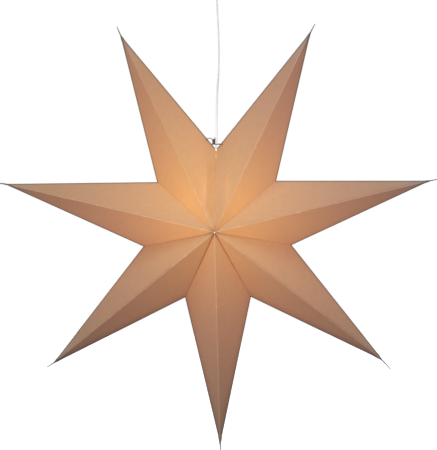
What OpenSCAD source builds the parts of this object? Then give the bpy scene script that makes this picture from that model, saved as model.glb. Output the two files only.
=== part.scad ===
// A seven-pointed folded paper star, lit from inside and hung by its cord from a ceiling cup.
// The ceiling is the plane z = 0, the star's front faces -Y, and its points are numbered
// anticlockwise from the upper left one, as seen from the front.

/* [Star] */
// From the star's centre to the very end of a point
tip_r = 513; // [470:1:560]
// From the centre to the inner corner between two points
notch_r = 174; // [160:1:185]
// The same at the open seam on top, where the tie draws the two arms together
seam_notch_r = 181; // [172:1:190]
// From the star's middle plane to its front and its back centre
half_depth = 140; // [125:1:160]
// Turn of the hanging star about its front-to-back axis, in degrees
lean = 0.7; // [0:0.1:3]
// From the ceiling down to the star's centre
drop = 612; // [600:1:640]

/* [Paper] */
// Thickness of the paper
paper_t = 0.4; // [0.3:0.05:0.6]
// Length of each point's end that is pinched flat
pinch_len = 18; // [12:1:26]
// Thickness of the pinched end, with its three layers of paper
pinch_t = 1.2; // [0.9:0.1:1.8]
// Width of the inward band by which neighbouring points are glued
band_w = 9; // [6:0.5:13]
// Relief between the ends of a glue band and the corners of its panel
band_relief = 10; // [8:0.5:16]
// Thickness of the glue between neighbouring points
glue_t = 0.1; // [0.05:0.05:0.2]
// Width of the overlap glued inside each back ridge
lap_w = 8; // [6:0.5:12]
// Round hole left at the front and at the back centre
centre_hole_d = 5; // [3:0.5:8]

/* [Seam] */
// Width of the open seam at the top corner
seam_gap = 1.6; // [0.8:0.1:2.4]
// Thickness of the reinforcing cards beside the seam
card_t = 0.8; // [0.6:0.1:1.2]
// Width of the card in the left arm, measured across the seam
left_card_w = 19; // [12:1:24]
// Width of the card in the right arm
right_card_w = 23; // [18:1:28]
// Where the cards start, out from the centre
card_start = 14; // [10:1:20]
// Length over which the cards' lower ends widen
card_taper = 46; // [30:1:60]
// Hole for the cord in the seam's top corner
cord_hole_d = 6; // [5.6:0.1:8]

/* [Twist tie] */
// Thickness of the plastic-covered wire
wire_d = 1.6; // [1.2:0.1:2]
// Holes for the wire in the two arms
tie_hole_d = 3; // [2.6:0.1:4]
// Left hole, along the arm's edge from the seam's top corner
left_hole_up = 30; // [28:0.5:32]
// Right hole, along its arm's edge
right_hole_up = 18.5; // [17:0.5:20]
// Distance of the holes from the arm's edge
hole_in = 4; // [3.5:0.1:4.5]
// Radius of the twist of the two wire ends
twist_r = 2.2; // [1.8:0.1:2.6]
// Height of the twisted stretch
twist_h = 10; // [8:0.5:12]

/* [Lampholder] */
// Outer diameter of cap and skirt
holder_d = 30; // [29:0.5:34]
// Diameter of the cap's shoulder, on which the seam's inner edges rest
shoulder_d = 26; // [24:0.5:27]
// Rise of the cap from its shoulder to its flat top
cap_rise = 5; // [3:0.5:5]
// Height of the cap below its shoulder
cap_h = 28; // [26:0.5:34]
// Length of the skirt below the cap
skirt_h = 24; // [22:0.5:28]
// Wall of cap and skirt
holder_wall = 1.8; // [1.4:0.1:2.2]
// Length of the skirt's collar inside the cap
spigot_h = 10; // [8:0.5:12]
// Thickness of the insulating contact block
block_h = 8; // [6:0.5:9]
// Inner diameter of the brass screw shell
shell_bore = 14.2; // [14.1:0.1:14.6]
// Wall of the screw shell
shell_t = 0.5; // [0.4:0.1:0.8]
// Length of the screw shell
shell_h = 22; // [18:0.5:24]
// Height of the spring contact in the middle
contact_h = 3; // [2:0.5:4]
// Diameter of the grip nut that the cord comes out of
grip_d = 9; // [8:0.5:9]
// Height of the grip nut
grip_h = 4; // [3:0.5:4]

/* [Bulb] */
// Diameter of the globe
bulb_d = 45; // [40:1:50]
// Whole length of the bulb
bulb_len = 78; // [74:1:84]
// Diameter of its screw cap
bulb_cap_d = 13.6; // [13.2:0.1:13.8]
// Length of its screw cap with the contact
bulb_cap_h = 22; // [20:0.5:24]

/* [Cord] */
// Width of the flat two-core cord
cord_w = 4.8; // [4.4:0.1:5]
// Thickness of the cord
cord_t = 3.2; // [2.8:0.1:3.6]
// Play between the cord and the bores that it passes
cord_play = 0.3; // [0.2:0.05:0.5]

/* [Ceiling fitting] */
// Diameter of the ceiling cup's rim
cup_d = 94; // [90:1:110]
// Height of the ceiling cup
cup_h = 58; // [50:1:60]
// Diameter of the cup's flat end
cup_end_d = 22; // [20:1:30]
// Wall of the cup
cup_wall = 2; // [1.5:0.1:3]
// Diameter of the plate that is screwed to the ceiling
plate_d = 76; // [74:1:80]
// Thickness of the plate
plate_t = 3; // [2:0.5:4]
// Height of the plate's stiffening rim
plate_rim_h = 5; // [3:0.5:7]
// Distance between the two screw holes
screw_spacing = 60; // [50:1:62]
// Diameter of the screw holes
screw_hole_d = 4.5; // [4:0.1:5]
// Outer diameter of the threaded tube under the plate
tube_d = 10; // [10:0.5:12]
// Bore of that tube
tube_bore = 7; // [6:0.5:8]
// Diameter of the cord lock
lock_d = 17; // [16:0.5:20]
// Height of the cord lock
lock_h = 14; // [12:0.5:16]
// Length of the tube inside the cord lock
lock_reach = 6; // [5:0.5:8]

/* [Hidden] */
$fn = 64;

point_count = 7;
half_angle = 180 / point_count;
last = point_count - 1;
// How far each hand-opened point ends from its even place: outward, then anticlockwise
out_by = [-1, 5, -1, 4, -9, 1, 0];
side_by = [1, 3, 2, 1, -4, -6, -3];

// Where a point's straight folds would meet, beyond which its end is pinched flat
fold_r = tip_r - pinch_len;
corner_x = notch_r * cos(half_angle);
even_foot = notch_r * sin(half_angle) * fold_r / (fold_r - corner_x);
// Shift along the point that sets a panel back by one millimetre
set_back = fold_r * sqrt(1 / pow(fold_r, 2) + 1 / pow(even_foot, 2) + 1 / pow(half_depth, 2));
paper_inset = paper_t * set_back;
card_inset = (paper_t + card_t) * set_back;
reach = tip_r + 20;

// The cap's shoulder touches the seam's inner edges, which lie set back by paper and card,
// stand apart by the seam's gap and fall away to the front and back
seam_foot = seam_notch_r * sin(half_angle) * fold_r / (fold_r - seam_notch_r * cos(half_angle));
seam_spread = seam_gap / 2 * (cos(half_angle) / seam_foot - sin(half_angle) / fold_r);
seat_play = 0.6;
shoulder_z = seam_notch_r * (1 - card_inset / fold_r + seam_spread - shoulder_d / 2 / half_depth)
    - seat_play;
cap_top_z = shoulder_z + cap_rise;
grip_top_z = cap_top_z + grip_h;
cap_low_z = shoulder_z - cap_h;
block_z = cap_low_z + spigot_h;
skirt_low_z = cap_low_z - skirt_h;
bulb_top_z = block_z - contact_h;
fit_play = 0.15;
lap_start = 10;
lock_low_z = -cup_h - lock_h;

function tip_angle(i) = 90 + half_angle * (2 * i + 1);
function apex(i) = [fold_r + out_by[i], 0, side_by[i]];
function at_seam(i, side) = (i == 0 && side < 0) || (i == last && side > 0);
function corner_r(i, side) = at_seam(i, side) ? seam_notch_r : notch_r;
function corner(i, side) = corner_r(i, side) * [cos(half_angle), 0, side * sin(half_angle)];
// Where a point's side fold would reach the star's axis plane
function foot(i, side) =
    apex(i) + (corner(i, side) - apex(i)) * apex(i).x / (apex(i).x - corner(i, side).x);
function unit(v) = v / norm(v);

// Frames, in which the star's centre is the origin
module plumb() translate([0, 0, -drop]) children();
module hung() plumb() translate([0, 0, shoulder_z]) rotate([0, -lean, 0])
    translate([0, 0, -shoulder_z]) children();
module on_point(i) rotate([0, -tip_angle(i), 0]) children();
// The plane in which a point meets its neighbour becomes z = 0, with the point above it
module on_joint(side) rotate([0, -side * half_angle, 0]) mirror([0, 0, side > 0 ? 1 : 0]) children();

// The whole volume of a point's four panels, set back along the point by inset
module spike(i, inset) translate([-inset, 0, 0]) polyhedron(
    points = [apex(i), [0, -half_depth, 0], foot(i, 1), [0, half_depth, 0], foot(i, -1)],
    faces = [[0, 1, 2], [0, 2, 3], [0, 3, 4], [0, 4, 1], [4, 3, 2, 1]]);

module between(i, outer, inner) difference() {
    spike(i, outer);
    spike(i, inner);
}

// A point's share of the star, between its two joint planes with their glue
module sector() rotate([90, 0, 0]) linear_extrude(height = 3 * half_depth, center = true)
    translate([glue_t / 2 / sin(half_angle), 0])
        polygon([[0, 0], reach * [1, tan(half_angle)], reach * [1, -tan(half_angle)]]);

// Glue band along a panel's inner edge, from near the centre to near the corner. It starts
// within the panel's thickness and goes through the joint plane, where the sector cuts it
module glue_band(i, side) {
    edge = norm([notch_r, half_depth]);
    on_joint(side) linear_extrude(height = 2 * paper_t, center = true) translate([0, -half_depth])
        rotate(atan2(half_depth, notch_r)) polygon([
            [band_relief, paper_t / 2],
            [edge - band_relief, paper_t / 2],
            [edge - band_relief - band_w, band_w],
            [band_relief + band_w, band_w]]);
}

module glue_bands(i) for (side = [-1, 1]) if (!at_seam(i, side)) {
    glue_band(i, side);
    mirror([0, 1, 0]) glue_band(i, side);
}

// Overlap that closes the sheet behind its back ridge, on the side away from a seam card
module back_lap(i) intersection() {
    between(i, paper_inset / 2, 2 * paper_inset);
    mirror([0, 0, at_seam(i, 1) ? 1 : 0])
        translate([lap_start, 0, 0]) cube([fold_r - pinch_len - lap_start, half_depth, lap_w]);
}

// The flat end leaves the front and back ridge just inside their folds
module pinched_end(i) {
    root_y = half_depth * pinch_len / apex(i).x - paper_t / 2;
    translate([0, 0, apex(i).z]) linear_extrude(height = pinch_t, center = true) polygon([
        [apex(i).x - pinch_len, -root_y],
        [apex(i).x + pinch_len, 0],
        [apex(i).x - pinch_len, root_y]]);
}

// The seam opens from the centre to its gap at the top corner, and beyond
module seam_slit() rotate([90, 0, 0]) linear_extrude(height = 3 * half_depth, center = true)
    polygon([[0, 0], [seam_gap, 2 * seam_notch_r], [-seam_gap, 2 * seam_notch_r]]);

function hole_up(i) = i == 0 ? left_hole_up : right_hole_up;

// Centre of an arm's tie hole, in the point's own frame
function tie_hole(i) =
    let (side = i == 0 ? -1 : 1,
         along = unit(apex(i) - corner(i, side)),
         inward = [-along.z, 0, along.x] * -side)
    corner(i, side) + along * hole_up(i) + inward * hole_in;

module tie_hole_cut(i) on_point(i) translate(tie_hole(i)) rotate([90, 0, 0])
    cylinder(h = 3 * half_depth, d = tie_hole_d, center = true, $fn = 24);

module seam_cuts(i) {
    seam_slit();
    translate([0, 0, shoulder_z]) cylinder(h = seam_notch_r, d = cord_hole_d, $fn = 24);
    tie_hole_cut(i);
}

module star_point(i) color([0.82, 0.63, 0.48]) hung() difference() {
    on_point(i) intersection() {
        union() {
            difference() {
                union() {
                    spike(i, 0);
                    pinched_end(i);
                }
                spike(i, paper_inset);
            }
            back_lap(i);
            glue_bands(i);
        }
        sector();
    }
    rotate([90, 0, 0]) cylinder(h = 3 * half_depth, d = centre_hole_d, center = true, $fn = 24);
    if (i == 0 || i == last) seam_cuts(i);
}

// Card strip folded round the corner, on the inner faces of an arm beside the seam
module seam_card(i, side, width) color([0.85, 0.8, 0.72]) hung() difference() {
    on_point(i) intersection() {
        between(i, paper_inset, card_inset);
        sector();
        on_joint(side) rotate([90, 0, 0]) linear_extrude(height = 3 * half_depth, center = true)
            polygon([
                [card_start, 0],
                [card_start + card_taper, width],
                [seam_notch_r + width, width],
                [seam_notch_r + width, 0]]);
    }
    seam_cuts(i);
}

// Tubes swept along a path
function tangent(p, k) = unit(p[min(k + 1, len(p) - 1)] - p[max(k - 1, 0)]);
function flattened(v, t) = unit(v - t * (v * t));
// One direction across the path at each of its points, carried along without twist
function across(p, first) = [
    for (k = 0, a = flattened(first, tangent(p, 0)); k < len(p);
         k = k + 1, a = k < len(p) ? flattened(a, tangent(p, k)) : a) a];

module tube(p, a, b, first, sides) {
    u = across(p, first);
    ring = [for (k = [0:len(p) - 1]) let (w = cross(tangent(p, k), u[k]))
        for (s = [0:sides - 1])
            p[k] + u[k] * a * cos(360 * s / sides) + w * b * sin(360 * s / sides)];
    wall = [for (k = [0:len(p) - 2], s = [0:sides - 1]) let (n = (s + 1) % sides)
        each [[k * sides + s, (k + 1) * sides + s, (k + 1) * sides + n],
              [k * sides + s, (k + 1) * sides + n, k * sides + n]]];
    ends = [[for (s = [0:sides - 1]) s],
            [for (s = [sides - 1:-1:0]) (len(p) - 1) * sides + s]];
    polyhedron(points = ring, faces = concat(wall, ends));
}

// Twist tie: one wire through both arms' holes and round the cord, its two ends twisted in front
function in_star(i, q) =
    let (c = cos(tip_angle(i)), s = sin(tip_angle(i))) [q.x * c - q.z * s, q.y, q.x * s + q.z * c];
left_hole = in_star(0, tie_hole(0));
right_hole = in_star(last, tie_hole(last));
tie_y = 8;
twist_x = -4.5;
twist_low_z = right_hole.z;
twist_turns = 1.5;
twist_steps = 14;
function twist(start) = [for (k = [0:twist_steps]) let (a = start + 360 * twist_turns * k / twist_steps)
    [twist_x + twist_r * cos(a), -tie_y - twist_r * sin(a), twist_low_z + twist_h * k / twist_steps]];
stub = [
    [twist_x + 3.2, -tie_y, twist_low_z + twist_h + 5.5],
    [twist_x + 2.4, -tie_y, twist_low_z + twist_h + 4],
    [twist_x + 2.4, -tie_y, twist_low_z + twist_h + 2]];
to_right = [
    [twist_x + 4, -tie_y, twist_low_z - 0.4],
    [twist_x + 9, -tie_y, twist_low_z],
    [right_hole.x - 4, -tie_y - 0.3, right_hole.z + 0.4],
    [right_hole.x - 1.2, -tie_y, right_hole.z],
    [right_hole.x, -tie_y + 1.2, right_hole.z],
    [right_hole.x, 0, right_hole.z],
    [right_hole.x, tie_y - 1.2, right_hole.z],
    [right_hole.x - 1.2, tie_y, right_hole.z],
    [right_hole.x - 4, tie_y + 0.4, right_hole.z]];
behind = [
    [0, tie_y + 1, (left_hole.z + right_hole.z) / 2]];
to_left = [
    [left_hole.x + 4, tie_y + 0.4, left_hole.z],
    [left_hole.x + 1.2, tie_y, left_hole.z],
    [left_hole.x, tie_y - 1.2, left_hole.z],
    [left_hole.x, 0, left_hole.z],
    [left_hole.x, 1.2 - tie_y, left_hole.z],
    [left_hole.x + 0.6, -tie_y, left_hole.z + 1]];
loop_r = (twist_x - twist_r - left_hole.x - 0.6) / 2;
loop_low_z = twist_low_z + twist_h;
over = [for (a = [160:-20:20])
    [left_hole.x + 0.6 + loop_r * (1 + cos(a)), -tie_y,
     (left_hole.z + loop_low_z) / 2 + 1 + 0.8 * loop_r * sin(a)]];

function reversed(p) = [for (k = [len(p) - 1:-1:0]) p[k]];
tie_route = concat(stub, reversed(twist(0)), to_right, behind, to_left, over, reversed(twist(180)));

module twist_tie() color([0.30, 0.24, 0.22]) hung()
    tube(tie_route, wire_d / 2, wire_d / 2, [0, 1, 0], 8);

// Lampholder and bulb
module holder_cap() color("white") plumb() rotate_extrude() polygon([
    [cord_w / 2 + cord_play, cap_top_z],
    [grip_d / 2 + 2, cap_top_z],
    [shoulder_d / 2, shoulder_z],
    [holder_d / 2, shoulder_z - 5],
    [holder_d / 2, cap_low_z],
    [holder_d / 2 - holder_wall, cap_low_z],
    [holder_d / 2 - holder_wall, shoulder_z - 5],
    [shoulder_d / 2 - holder_wall, shoulder_z - holder_wall],
    [grip_d / 2, cap_top_z - holder_wall],
    [cord_w / 2 + cord_play, cap_top_z - holder_wall]]);

module holder_skirt() color("white") plumb() rotate_extrude() polygon([
    [holder_d / 2 - 2 * holder_wall - fit_play, block_z],
    [holder_d / 2 - holder_wall - fit_play, block_z],
    [holder_d / 2 - holder_wall - fit_play, cap_low_z],
    [holder_d / 2, cap_low_z],
    [holder_d / 2, skirt_low_z + 2],
    [holder_d / 2 - 0.6, skirt_low_z],
    [holder_d / 2 - 2 * holder_wall - fit_play, skirt_low_z]]);

module contact_block() color([0.93, 0.9, 0.84]) plumb() translate([0, 0, block_z])
    cylinder(h = block_h, r = holder_d / 2 - holder_wall - 2 * fit_play);

module screw_shell() color([0.8, 0.65, 0.3]) plumb() translate([0, 0, block_z - shell_h])
    difference() {
        cylinder(h = shell_h, d = shell_bore + 2 * shell_t);
        translate([0, 0, -1]) cylinder(h = shell_h + 2, d = shell_bore);
    }

module centre_contact() color([0.8, 0.65, 0.3]) plumb() translate([0, 0, bulb_top_z])
    cylinder(h = contact_h, d = 5);

module cord_grip() color("white") plumb() translate([0, 0, cap_top_z]) difference() {
    cylinder(h = grip_h, d1 = grip_d, d2 = grip_d - 1);
    translate([0, 0, -1]) cylinder(h = grip_h + 2, r = cord_w / 2 + cord_play);
}

// Bulb: contact, screw cap, collar and globe, turned as one
bulb_low_z = bulb_top_z - bulb_len;
globe_z = bulb_low_z + bulb_d / 2;
collar_r = holder_d / 2 - 2 * holder_wall - 1;
module bulb() color([1, 0.95, 0.82]) plumb() rotate_extrude() polygon(concat(
    [[0, bulb_top_z], [2.2, bulb_top_z], [2.6, bulb_top_z - 1], [5, bulb_top_z - 3],
     [bulb_cap_d / 2, bulb_top_z - 4],
     [bulb_cap_d / 2, bulb_top_z - bulb_cap_h],
     [collar_r, bulb_top_z - bulb_cap_h - 4],
     [collar_r, skirt_low_z]],
    [for (a = [50:-10:-90]) [bulb_d / 2 * cos(a), globe_z + bulb_d / 2 * sin(a)]]));

// Cord: from the contact block up through the grip, then to the ceiling, in the plumb frame
cord_route = [
    [0, 0, block_z + block_h], [0, 0, cap_top_z], [0, 0, grip_top_z],
    [0, 0, 182], [0.5, 0, 192], [1, 0, 204], [1, 0, 216], [1, 0, 228], [1, 0, 240], [1, 0, 252],
    [1, 0, 264], [1.2, 0, 276], [1.5, 0, 288], [2, 0, 300], [2.5, 0, 312], [3, 0, 324], [4, 0, 336],
    [4.8, 0, 348], [5.4, 0, 360], [5.7, 0, 372], [5.9, 0, 384], [6, 0, 396], [5.9, 0, 408],
    [5.7, 0, 420], [5.4, 0, 432], [5, 0, 444], [4.5, 0, 456], [3.9, 0, 468], [3.3, 0, 480],
    [2.6, 0, 492], [2, 0, 504], [1.3, 0, 516], [0.6, 0, 528],
    [0, 0, drop + lock_low_z], [0, 0, drop + lock_low_z + lock_h], [0, 0, drop - 12]];
module cord() color([0.93, 0.93, 0.91]) plumb() tube(cord_route, cord_w / 2, cord_t / 2, [1, 0, 0], 8);

// Ceiling fitting
module ceiling_plate() color([0.75, 0.75, 0.73]) difference() {
    union() {
        translate([0, 0, -plate_t]) cylinder(h = plate_t, d = plate_d);
        translate([0, 0, -plate_t - plate_rim_h]) difference() {
            cylinder(h = plate_rim_h + plate_t / 2, d = plate_d);
            translate([0, 0, -1]) cylinder(h = plate_rim_h + plate_t, d = plate_d - 2 * plate_t);
        }
        translate([0, 0, -cup_h - lock_reach]) cylinder(h = cup_h + lock_reach - plate_t / 2, d = tube_d);
    }
    translate([0, 0, -cup_h - lock_reach - 1]) cylinder(h = cup_h + lock_reach + 2, d = tube_bore);
    for (side = [-1, 1]) translate([side * screw_spacing / 2, 0, -plate_t - 1])
        cylinder(h = plate_t + 2, d = screw_hole_d);
}

module ceiling_cup() color("white") rotate_extrude() polygon([
    [cup_d / 2, 0],
    [cup_d / 2, -3],
    [cup_d / 2 - 2, -8],
    [cup_end_d / 2 + 10, -cup_h + 8],
    [cup_end_d / 2 + 3, -cup_h + 2],
    [cup_end_d / 2, -cup_h],
    [tube_d / 2 + cord_play, -cup_h],
    [tube_d / 2 + cord_play, -cup_h + cup_wall],
    [cup_end_d / 2, -cup_h + cup_wall],
    [cup_end_d / 2 + 8, -cup_h + 8 + cup_wall],
    [cup_d / 2 - 2 - cup_wall, -8],
    [cup_d / 2 - cup_wall, -3],
    [cup_d / 2 - cup_wall, 0]]);

module cord_lock() color("white") difference() {
    translate([0, 0, lock_low_z]) cylinder(h = lock_h, d1 = lock_d - 3, d2 = lock_d);
    translate([0, 0, -cup_h - lock_reach]) cylinder(h = lock_reach + 1, d = tube_d + 2 * fit_play);
    translate([0, 0, lock_low_z - 1]) cylinder(h = lock_h + 2, r = cord_w / 2 + cord_play);
    for (a = [0:30:330]) rotate(a) translate([lock_d / 2 + 0.2, 0, lock_low_z - 1])
        cylinder(h = lock_h - 2, d = 1.6, $fn = 24);
}

star_point(0);  // point_1
star_point(1);  // point_2
star_point(2);  // point_3
star_point(3);  // point_4
star_point(4);  // point_5
star_point(5);  // point_6
star_point(6);  // point_7
seam_card(0, -1, left_card_w);  // seam_card_left
seam_card(last, 1, right_card_w);  // seam_card_right
twist_tie();
holder_cap();
holder_skirt();
contact_block();
screw_shell();
centre_contact();
cord_grip();
bulb();
cord();
cord_lock();
ceiling_cup();
ceiling_plate();
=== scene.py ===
# %% [markdown]
# # A folded paper star, lit from inside
# The star hangs by a flat two-core cord from a ceiling cup. It is made of seven folded paper
# points, glued side by side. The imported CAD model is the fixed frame: it gives the place and size
# of each piece, and this lesson gives the pieces their paper, plastic, metal and light.

# %% Load the frame
from math import cos, pi, radians, sin
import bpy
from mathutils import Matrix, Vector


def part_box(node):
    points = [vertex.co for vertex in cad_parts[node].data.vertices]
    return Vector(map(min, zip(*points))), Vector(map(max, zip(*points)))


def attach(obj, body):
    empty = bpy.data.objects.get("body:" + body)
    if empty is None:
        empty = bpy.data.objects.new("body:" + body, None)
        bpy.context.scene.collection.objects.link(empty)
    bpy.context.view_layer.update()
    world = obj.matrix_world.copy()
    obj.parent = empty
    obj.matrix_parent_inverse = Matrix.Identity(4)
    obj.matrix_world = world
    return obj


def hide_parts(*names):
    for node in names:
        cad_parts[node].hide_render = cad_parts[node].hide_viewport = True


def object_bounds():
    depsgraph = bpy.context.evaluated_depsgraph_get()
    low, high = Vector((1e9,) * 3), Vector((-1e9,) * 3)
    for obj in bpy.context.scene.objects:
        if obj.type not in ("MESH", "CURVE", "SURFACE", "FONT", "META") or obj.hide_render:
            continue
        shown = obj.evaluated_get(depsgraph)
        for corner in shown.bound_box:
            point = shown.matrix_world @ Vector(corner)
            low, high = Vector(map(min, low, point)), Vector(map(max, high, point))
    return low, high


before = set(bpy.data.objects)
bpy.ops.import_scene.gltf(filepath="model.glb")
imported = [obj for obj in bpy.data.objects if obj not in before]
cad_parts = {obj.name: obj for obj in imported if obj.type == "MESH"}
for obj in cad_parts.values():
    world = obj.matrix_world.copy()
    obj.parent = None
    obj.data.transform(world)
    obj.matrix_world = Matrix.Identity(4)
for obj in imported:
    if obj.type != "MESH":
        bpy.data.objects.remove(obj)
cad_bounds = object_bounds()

from types import SimpleNamespace

import bmesh
import bpy
import numpy as np
from mathutils import Vector

MM = 0.001
print("CAD nodes:", len(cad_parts))

# %% [markdown]
# ## The camera
# The photograph was taken from almost straight ahead, a little from the right and from above. The
# distance, the angles and the lens come from matching the seven tips and the corners between them.

# %% Camera
PHOTO_WIDTH = 437
FOCAL_PIXELS = 1140.1
VIEW_AZIMUTH, VIEW_ELEVATION = radians(2.256), radians(3.039)
VIEW_DISTANCE = 2.6
VIEW_TARGET = Vector((0.00515, 0, -0.60316))
SENSOR = 36

camera_data = bpy.data.cameras.new("camera")
camera_data.sensor_fit = "HORIZONTAL"
camera_data.sensor_width = SENSOR
camera_data.lens = SENSOR * FOCAL_PIXELS / PHOTO_WIDTH
camera = bpy.data.objects.new("camera", camera_data)
bpy.context.scene.collection.objects.link(camera)
backward = Vector((sin(VIEW_AZIMUTH) * cos(VIEW_ELEVATION),
                   -cos(VIEW_AZIMUTH) * cos(VIEW_ELEVATION), sin(VIEW_ELEVATION)))
camera.location = VIEW_TARGET + VIEW_DISTANCE * backward
camera.rotation_euler = backward.to_track_quat("Z", "Y").to_euler()
bpy.context.scene.camera = camera
print("lens:", round(camera_data.lens, 1), "mm")

# %% [markdown]
# ## Surfaces from arrays
# Every new piece is a surface on a grid: rings of points, one ring after the other. One function
# joins the rings with four-sided faces, closes the ends with fans and makes the mesh.


# %% From rings to a mesh
SAME_SPOT = 0.001 * MM


def ring_faces(rings, count, loops=False):
    """Faces between rings of count points: point s of ring k, then its neighbours in ring k + 1.
    With loops, the last ring joins the first one, which makes a closed ring of rings."""
    k = np.arange(rings if loops else rings - 1)[:, None]
    s = np.arange(count)[None, :]
    after, beside = (k + 1) % rings, (s + 1) % count
    faces = np.stack([k * count + s, k * count + beside,
                      after * count + beside, after * count + s], -1)
    return faces.reshape(-1, 4)


def make_mesh(name, points, faces, smooth=True, slots=None):
    """A mesh object at the origin from an array of points and a list of face arrays. slots holds a
    material number for each face. Points on one spot become one, and faces are turned outward."""
    mesh = bpy.data.meshes.new(name)
    mesh.from_pydata(np.asarray(points).tolist(), [], [f.tolist() for g in faces for f in g])
    if slots is not None:
        mesh.polygons.foreach_set("material_index", slots.astype(np.int32))
    shape = bmesh.new()
    shape.from_mesh(mesh)
    bmesh.ops.remove_doubles(shape, verts=shape.verts, dist=SAME_SPOT)
    bmesh.ops.recalc_face_normals(shape, faces=shape.faces)
    shape.to_mesh(mesh)
    shape.free()
    mesh.polygons.foreach_set("use_smooth", np.full(len(mesh.polygons), smooth))
    piece = bpy.data.objects.new(name, mesh)
    bpy.context.scene.collection.objects.link(piece)
    return piece


def circle(count):
    """Angles of count points round a circle."""
    return np.linspace(0, 2 * pi, count, endpoint=False)


def fan(ring, centre):
    """Triangles from a ring of point numbers to one centre point."""
    return np.stack([ring, np.roll(ring, -1), np.full(len(ring), centre)], 1)


def tube(name, path, profile, side, turn=None):
    """A profile carried along a path. At each point of the path, the profile's first axis is side
    made square to the path, its second axis is square to both, and turn rotates the pair. The two
    ends are closed by fans."""
    path, profile = np.asarray(path, float), np.asarray(profile, float)
    along = np.gradient(path, axis=0)
    along /= np.linalg.norm(along, axis=1)[:, None]
    side = np.broadcast_to(np.asarray(side, float), path.shape)
    first = side - along * (side * along).sum(1)[:, None]
    first /= np.linalg.norm(first, axis=1)[:, None]
    second = np.cross(along, first)
    turn = np.zeros(len(path)) if turn is None else turn
    c, s = np.cos(turn)[:, None], np.sin(turn)[:, None]
    first, second = first * c + second * s, second * c - first * s
    rings = (path[:, None] + profile[None, :, :1] * first[:, None]
             + profile[None, :, 1:] * second[:, None])
    count, last = len(profile), len(path) - 1
    points = np.concatenate([rings.reshape(-1, 3), path[:1], path[-1:]])
    total = len(path) * count
    faces = [ring_faces(len(path), count), fan(np.arange(count), total),
             fan(np.arange(count) + last * count, total + 1)]
    return make_mesh(name, points, faces)


def smooth_path(knots, steps):
    """A smooth curve through the knots: between two knots it is the cubic whose direction at each
    knot is that from the knot before to the knot after."""
    knots = np.asarray(knots, float)
    padded = np.concatenate([2 * knots[:1] - knots[1:2], knots, 2 * knots[-1:] - knots[-2:-1]])
    p0, p1, p2, p3 = (padded[i:len(padded) - 3 + i, None] for i in range(4))
    t = np.linspace(0, 1, steps, endpoint=False)[None, :, None]
    curve = 0.5 * (2 * p1 + (p2 - p0) * t + (2 * p0 - 5 * p1 + 4 * p2 - p3) * t ** 2
                   + (3 * p1 - p0 - 3 * p2 + p3) * t ** 3)
    return np.concatenate([curve.reshape(-1, 3), knots[-1:]])


# %% [markdown]
# ## Where things are
# The star's own frame has its centre at the origin, x to the right and z up. The star leans by 0.7
# degrees about the lampholder's shoulder, and its centre lies 612 mm under the ceiling.

# %% The star's frame
DROP = 0.612
LEAN = radians(0.7)
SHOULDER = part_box("holder_cap")[1].z + DROP - 5 * MM
CENTRE = (SHOULDER * sin(LEAN), 0, SHOULDER * (1 - cos(LEAN)) - DROP)


def turned(points, angle, about=0.0):
    """Turns points in the plane of the star, about a height on its axis."""
    x, y, z = np.moveaxis(np.asarray(points, float), -1, 0)
    z = z - about
    return np.stack([x * cos(angle) - z * sin(angle), y,
                     x * sin(angle) + z * cos(angle) + about], -1)


def hang(points):
    """Takes points of the star's frame into the row's: leaned about the shoulder, and lowered."""
    return turned(points, LEAN, SHOULDER) - (0, 0, DROP)


print("star's centre:", [round(c, 4) for c in CENTRE])

# %% [markdown]
# ## The cord
# It is a real flat two-core cord, 4.8 by 3.2 mm: two round cores under one skin, with a shallow
# groove along the middle. It is pulled straight by the star's weight, apart from a slight bow that
# it kept from its packing, and it turns by a quarter: lower down it shows its wide side, higher up
# its narrow one. It ends in the cord lock of the ceiling cup.

# %% Cord
CORD_WIDE, CORD_THIN = 4.8 * MM, 3.2 * MM
GROOVE_DEPTH, GROOVE_WIDTH = 0.13, 0.45 * MM
TURN, TURN_FROM, TURN_OVER = radians(72), -340 * MM, 100 * MM
TURN_A_METRE, EXIT_Z = radians(18), -440 * MM
cord_exit = (0, 0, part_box("cord_grip")[1].z)
cord_x = [0, 0, 0.5, 1, 1, 1, 1, 1, 1, 1.2, 1.5, 2, 2.5, 3, 4, 4.8, 5.4, 5.7, 5.9, 6, 5.9, 5.7,
          5.4, 5, 4.5, 3.9, 3.3, 2.6, 2, 1.3, 0.6, 0, 0, 0]
cord_z = [0, 182, 192] + list(range(204, 529, 12)) + [540, 554, 600]
cord_knots = np.zeros((len(cord_x), 3))
cord_knots[:, 0] = np.array(cord_x) * MM
cord_knots[:, 2] = np.array(cord_z) * MM - DROP
cord_knots[0] = cord_exit
cord_path = smooth_path(cord_knots, 4)

a = circle(28)
core_centre = (CORD_WIDE - CORD_THIN) / 2
cord_profile = np.stack([np.sign(np.cos(a)) * core_centre + CORD_THIN / 2 * np.cos(a),
                         CORD_THIN / 2 * np.sin(a)], 1)
groove = 1 - GROOVE_DEPTH * np.exp(-(cord_profile[:, 0] / GROOVE_WIDTH) ** 2)
cord_profile[:, 1] *= groove
rise = np.clip((cord_path[:, 2] - TURN_FROM) / TURN_OVER, 0, 1)
cord_turn = TURN * rise ** 2 * (3 - 2 * rise) + TURN_A_METRE * (cord_path[:, 2] - EXIT_Z)
cord = tube("cord_flex", cord_path, cord_profile, (1, 0, 0), cord_turn)
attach(cord, "root")
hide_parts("cord")

# %% [markdown]
# ## Floor and light
# A plain pale floor lies under the star. The world is white to the camera and softly grey to
# everything else. One large lamp from the upper left does most of the modelling, and a weaker one
# behind the star lights its back.

# %% Nodes, in short
WHITE, BLACK = (1, 1, 1, 1), (0, 0, 0, 1)


def grey(level):
    """A colour without hue."""
    return (level, level, level, 1)


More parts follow.
